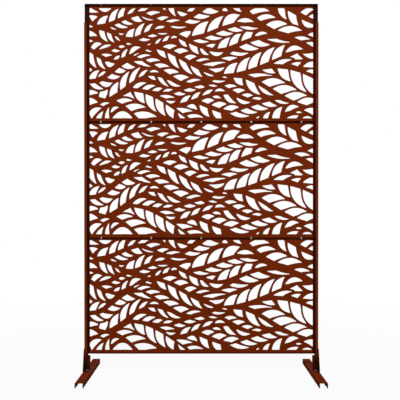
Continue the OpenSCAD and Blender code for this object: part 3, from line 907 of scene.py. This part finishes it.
def pattern_field():
    """Grid of distances that are negative in the pattern's holes, and its x and z.
    A frond in front keeps a full rib between itself and those behind it."""
    reach = 2 * RIB
    xs = np.arange(-FIELD_WIDTH / 2 - GRID, FIELD_WIDTH / 2 + 2 * GRID, GRID)
    zs = np.arange(-GRID, FIELD_HEIGHT + 2 * GRID, GRID)
    x, z = np.meshgrid(xs, zs)
    holes = np.full(x.shape, reach)
    in_front = np.full(x.shape, reach)
    groups = [[outline for row in rows for outline in row_leaves(pairs(stem), *row)]
              for stem, *rows in FRONDS]
    groups.append([single_leaf(row) for row in SINGLES])
    for group in groups:
        frond = np.full(x.shape, reach)
        for outline in group[::-1]:
            low, high = outline.min(axis=0) - reach, outline.max(axis=0) + reach
            window = np.s_[np.searchsorted(zs, low[1]):np.searchsorted(zs, high[1]),
                           np.searchsorted(xs, low[0]):np.searchsorted(xs, high[0])]
            part = distance(outline, x[window], z[window])
            # A leaf is cut back where one after it bulges into its rib
            part = np.maximum(part, LEAST_RIB - frond[window])
            frond[window] = np.minimum(frond[window], part)
        holes = np.minimum(holes, np.maximum(frond, RIB - in_front))
        in_front = np.minimum(in_front, frond)
    edge = np.maximum(np.abs(x) - FIELD_WIDTH / 2, np.abs(z - FIELD_HEIGHT / 2) - FIELD_HEIGHT / 2)
    return xs, zs, np.maximum(holes + MARGIN, edge)


def outlines_of(xs, zs, field):
    """Closed outlines round the parts of the grid where the field is negative"""
    inside = field < 0
    low, high = inside[:-1, :-1], inside[1:, 1:]
    mixed = (low != inside[:-1, 1:]) | (low != inside[1:, :-1]) | (low != high)
    links = {}
    for r, c in np.argwhere(mixed).tolist():
        corners = ((r, c), (r, c + 1), (r + 1, c + 1), (r + 1, c))
        ways_out, ways_in = [], []
        for k in range(4):
            a, b = corners[k], corners[(k + 1) % 4]
            if inside[a] != inside[b]:
                (ways_out if inside[a] else ways_in).append((k, (min(a, b), max(a, b))))
        for k, key in ways_out:
            links[key] = min(ways_in, key=lambda way: (way[0] - k) % 4)[1]
    outlines = []
    while links:
        start, key = links.popitem()
        keys = [start]
        while key != start:
            keys.append(key)
            key = links.pop(key)
        points = []
        for a, b in keys:
            t = field[a] / (field[a] - field[b])
            points.append((xs[a[1]] + t * (xs[b[1]] - xs[a[1]]),
                           zs[a[0]] + t * (zs[b[0]] - zs[a[0]])))
        outlines.append(np.array(points))
    return outlines


def thinned(points, tolerance=0.12):
    """An open line without the points that lie within the tolerance, nor its last one"""
    a, b = points[0], points[-1]
    off = np.abs((points - a) @ left_of(b - a)) / max(np.hypot(*(b - a)), 1e-9)
    k = int(off.argmax())
    if off[k] < tolerance:
        return [a]
    return thinned(points[:k + 1], tolerance) + thinned(points[k:], tolerance)


def leaf_holes():
    """Outlines of all the holes of the pattern"""
    holes = []
    for points in outlines_of(*pattern_field()):
        x, z = points.T
        if abs(x @ np.roll(z, -1) - z @ np.roll(x, -1)) / 2 < LEAST_HOLE_AREA:
            continue
        k = int(np.hypot(*(points - points[0]).T).argmax())
        closed = np.vstack((points, points[:1]))
        holes.append(thinned(closed[:k + 1]) + thinned(closed[k:]))
    return holes


# ---- Operators ----

class LEAFSCREEN_OT_panels(bpy.types.Operator):
    """Cuts the leaf pattern into the three panels and powder coats them"""
    bl_idname = "leaf_screen.panels"
    bl_label = "Cut and Coat Panels"

    def execute(self, context):
        finish = context.scene.leaf_screen_finish
        coat = powder_coat("Rust_brown_coat_on_cut_sheet", finish.panel_coat, finish, "Y",
                           side_fold_shade)
        coat_nodes(("panel_",), coat)
        holes = leaf_holes()
        for node in PANELS:
            mesh = mesh_of(node)
            cut_sheet(mesh, holes)
            piece = add_piece(f"{node}_leaf_cut", mesh, coat)
            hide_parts(node)
        return {"FINISHED"}


class LEAFSCREEN_OT_frame(bpy.types.Operator):
    """Cuts the brackets' tubes to length and powder coats the posts, brackets and feet"""
    bl_idname = "leaf_screen.frame"
    bl_label = "Coat Posts and Feet"

    def execute(self, context):
        finish = context.scene.leaf_screen_finish
        coat = powder_coat("Rust_brown_coat_on_posts", finish.frame_coat, finish, "Y",
                           post_end_shade)
        coat_nodes(("post_",), coat)
        dark = powder_coat("Dark_brown_coat_on_brackets", finish.bracket_coat, finish, "Y",
                           bracket_foot_shade)
        detail = context.scene.leaf_screen_detail
        for side in SIDES:
            node = f"bracket_{side}"
            mesh = mesh_of(node)
            cut_tube(mesh, detail.tube_top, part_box("panel_top")[1].x + MM)
            piece = add_piece(f"{node}_short_tube", mesh, dark)
            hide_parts(node)
        foot = powder_coat("Rust_brown_coat_on_feet", finish.foot_coat, finish, "Z",
                           anchor_hole_shade, gloss=0.004)
        coat_nodes(("foot_left", "foot_right"), foot)
        return {"FINISHED"}


# Thickness of the brackets' plates and of the panels' sheet, what a gusset's bead stays
# away from the post and from the gusset's end, what a corner weld stays inside the
# panel's outline, and behind its front and back
PLATE, SHEET = 3 * MM, 1.5 * MM
FROM_POST, FROM_END = 2 * MM, 4 * MM
CORNER_INSET, CORNER_SETBACK = 0.2 * MM, 1 * MM


class LEAFSCREEN_OT_welds(bpy.types.Operator):
    """Lays the weld beads between each gusset and its base plate, and closes the corners
    of the folded panels"""
    bl_idname = "leaf_screen.welds"
    bl_label = "Add Weld Beads"

    def execute(self, context):
        detail = context.scene.leaf_screen_detail
        coat = bpy.data.materials["Dark_brown_coat_on_brackets"]
        for side, sign in SIDES.items():
            end_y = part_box(f"bracket_{side}")[1].y - FROM_END
            post_low, post_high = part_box(f"post_lower_{side}")
            floor_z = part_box(f"foot_{side}")[1].z + PLATE
            wall_x = post_high.x if sign > 0 else post_low.x
            mesh = bmesh.new()
            for front in (-1, 1):
                near = Vector((wall_x, front * (post_high.y + FROM_POST), floor_z))
                far = Vector((wall_x, front * end_y, floor_z))
                weld_bead(mesh, near, far, Vector((sign, 0, 0)), detail.bead_size, detail.ripple)
            add_piece(f"gusset_weld_{side}", mesh, coat)
        inset = detail.corner_weld + CORNER_INSET
        to_front = Matrix.Rotation(math.pi / 2, 4, "X")
        for node in PANELS:
            low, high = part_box(node)
            depth = high.y - low.y - SHEET
            rings = [(height, circle(detail.corner_weld)) for height in (0, depth)]
            mesh = bmesh.new()
            for x in (low.x + inset, high.x - inset):
                for z in (low.z + inset, high.z - inset):
                    corner = Vector((x, high.y - CORNER_SETBACK, z))
                    turn(mesh, rings, Matrix.Translation(corner) @ to_front)
            add_piece(f"{node}_corner_welds", mesh, coat)
        return {"FINISHED"}


class LEAFSCREEN_OT_screws(bpy.types.Operator):
    """Makes the threaded button head screws of the seams, posts and brackets"""
    bl_idname = "leaf_screen.screws"
    bl_label = "Add Screws"

    def execute(self, context):
        finish = context.scene.leaf_screen_finish
        detail = context.scene.leaf_screen_detail
        zinc = zinc_plate("Bright_zinc_plate", finish.zinc)
        rows = [(f"seam_screws_{row}", Vector((0, 0, 1))) for row in ("upper", "lower")]
        rows += [(f"{kind}_screws_{side}", Vector((sign, 0, 0)))
                 for kind in ("side", "bracket") for side, sign in SIDES.items()]
        for node, axis in rows:
            mesh = bmesh.new()
            turned = axis.to_track_quat("Z", "Y").to_matrix().to_4x4()
            for low, high in solids_of(node):
                middle, size = (low + high) / 2, high - low
                length = abs(size.dot(axis))
                head_radius = (sum(size) - length) / 4
                radius = head_radius / BUTTON_RADIUS
                head_height = BUTTON_HEIGHT * radius
                seat = middle + axis * (length / 2 - head_height)
                button_screw(mesh, Matrix.Translation(seat) @ turned, radius,
                             detail.screw_pitch, length - head_height, head_radius, head_height)
            piece = add_piece(f"{node}_threaded", mesh, zinc)
            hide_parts(node)
        return {"FINISHED"}


class LEAFSCREEN_OT_bolts(bpy.types.Operator):
    """Makes the threaded flange bolts of the feet and plates all the nuts"""
    bl_idname = "leaf_screen.bolts"
    bl_label = "Add Bolts and Nuts"

    def execute(self, context):
        finish = context.scene.leaf_screen_finish
        detail = context.scene.leaf_screen_detail
        zinc = bpy.data.materials["Bright_zinc_plate"]
        dull = zinc_plate("Dull_zinc_plate", finish.dull_zinc)
        for side in SIDES:
            node = f"foot_bolts_{side}"
            mesh = bmesh.new()
            for low, high in solids_of(node):
                flange_radius = (high.x - low.x) / 2
                radius = flange_radius / FLANGE_RADIUS
                head_height = BOLT_HEAD_HEIGHT * radius
                seat = Vector(((low.x + high.x) / 2, (low.y + high.y) / 2, high.z - head_height))
                flange_bolt(mesh, Matrix.Translation(seat), radius, detail.bolt_pitch,
                            seat.z - low.z, flange_radius, head_height)
            piece = add_piece(f"{node}_threaded", mesh, dull)
            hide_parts(node)
        coat_nodes(("seam_nuts", "side_nuts", "bracket_nuts"), zinc)
        coat_nodes(("foot_nuts",), dull)
        return {"FINISHED"}


# Each softbox: name, place, width and the setting of its power
LAMPS = (
    ("Key", (0, -5.2, 3.9), 2.4, "key_power"),
    ("Back", (0, 5.2, 3.4), 2.4, "back_power"),
    ("Fill_left", (-0.7, -3.4, 0.9), 0.9, "fill_power"),
    ("Fill_right", (0.7, -3.4, 0.9), 0.9, "fill_power"),
)
# Shift of the picture to frame the screen, in pictures of 400 pixels
SHIFT_X, SHIFT_Y = -1.3 / 400, 17.0 / 400


class LEAFSCREEN_OT_stage(bpy.types.Operator):
    """Lays the floor, hangs the lamps and sets the camera"""
    bl_idname = "leaf_screen.stage"
    bl_label = "Set Stage"

    def execute(self, context):
        scene = context.scene
        stage = scene.leaf_screen_stage
        scene.view_settings.view_transform = "Standard"
        self.floor(stage)
        self.sky(scene, stage)
        middle = Vector((0, 0, (CAD_LOW.z + CAD_HIGH.z) / 2))
        for name, place, width, power in LAMPS:
            self.softbox(name, Vector(place), middle, width, getattr(stage, power))
        self.camera(scene, stage)
        return {"FINISHED"}

    def floor(self, stage):
        """One flat sheet, level with the feet"""
        half = stage.floor_width / 2
        corners = [(x * half, y * half, CAD_LOW.z)
                   for x, y in ((-1, -1), (1, -1), (1, 1), (-1, 1))]
        data = bpy.data.meshes.new("floor")
        data.from_pydata(corners, [], [(0, 1, 2, 3)])
        data.materials.append(studio_floor("Matt_white_floor", stage.floor_colour))
        floor = add_object("floor", data)

    def sky(self, scene, stage):
        """Even light from all round, white where it is seen"""
        world = bpy.data.worlds.new("Studio")
        world.use_nodes = True
        scene.world = world
        tree = world.node_tree
        tree.nodes.clear()
        light = add(tree, "Background", {"Color": WHITE, "Strength": stage.sky})
        white = add(tree, "Background", {"Color": WHITE, "Strength": 1.0})
        mix = add(tree, "MixShader", _0=seen_share(tree), _1=light, _2=white)
        add(tree, "OutputWorld", Surface=mix)

    def softbox(self, name, place, aim, width, power):
        """A square lamp that faces aim"""
        data = bpy.data.lights.new(name, "AREA")
        data.size = width
        data.energy = power
        lamp = add_object(name, data)
        lamp.location = place
        lamp.rotation_euler = (aim - place).to_track_quat("-Z", "Y").to_euler()

    def camera(self, scene, stage):
        """Stands in front of the middle, with the picture shifted up to frame the screen"""
        data = bpy.data.cameras.new("Camera")
        data.sensor_width = 36.0
        data.lens = stage.lens
        data.shift_x, data.shift_y = SHIFT_X, SHIFT_Y
        camera = add_object("Camera", data)
        camera.location = (0, -stage.distance, stage.eye_height)
        camera.rotation_euler = (math.pi / 2 - stage.tilt, 0, 0)
        scene.camera = camera


STEPS = (
    LEAFSCREEN_OT_panels,
    LEAFSCREEN_OT_frame,
    LEAFSCREEN_OT_welds,
    LEAFSCREEN_OT_screws,
    LEAFSCREEN_OT_bolts,
    LEAFSCREEN_OT_stage,
)


class LEAFSCREEN_PT_sidebar(bpy.types.Panel):
    """Lists the steps and settings of the leaf screen"""
    bl_label = "Leaf Screen"
    bl_idname = "LEAFSCREEN_PT_sidebar"
    bl_space_type = "VIEW_3D"
    bl_region_type = "UI"
    bl_category = "Leaf Screen"

    def draw(self, context):
        for name, group in SETTINGS.items():
            box = self.layout.box()
            for key in group.__annotations__:
                box.prop(getattr(context.scene, name), key)
        for step in STEPS:
            self.layout.operator(step.bl_idname)


def register():
    for cls in (*SETTINGS.values(), *STEPS, LEAFSCREEN_PT_sidebar):
        bpy.utils.register_class(cls)
    for name, group in SETTINGS.items():
        setattr(bpy.types.Scene, name, PointerProperty(type=group))


def unregister():
    for name in SETTINGS:
        delattr(bpy.types.Scene, name)
    for cls in (LEAFSCREEN_PT_sidebar, *STEPS[::-1], *SETTINGS.values()):
        bpy.utils.unregister_class(cls)


def main():
    """Makes the whole scene"""
    register()
    for step in STEPS:
        group, name = step.bl_idname.split(".")
        getattr(getattr(bpy.ops, group), name)()


if __name__ == "__main__":
    main()
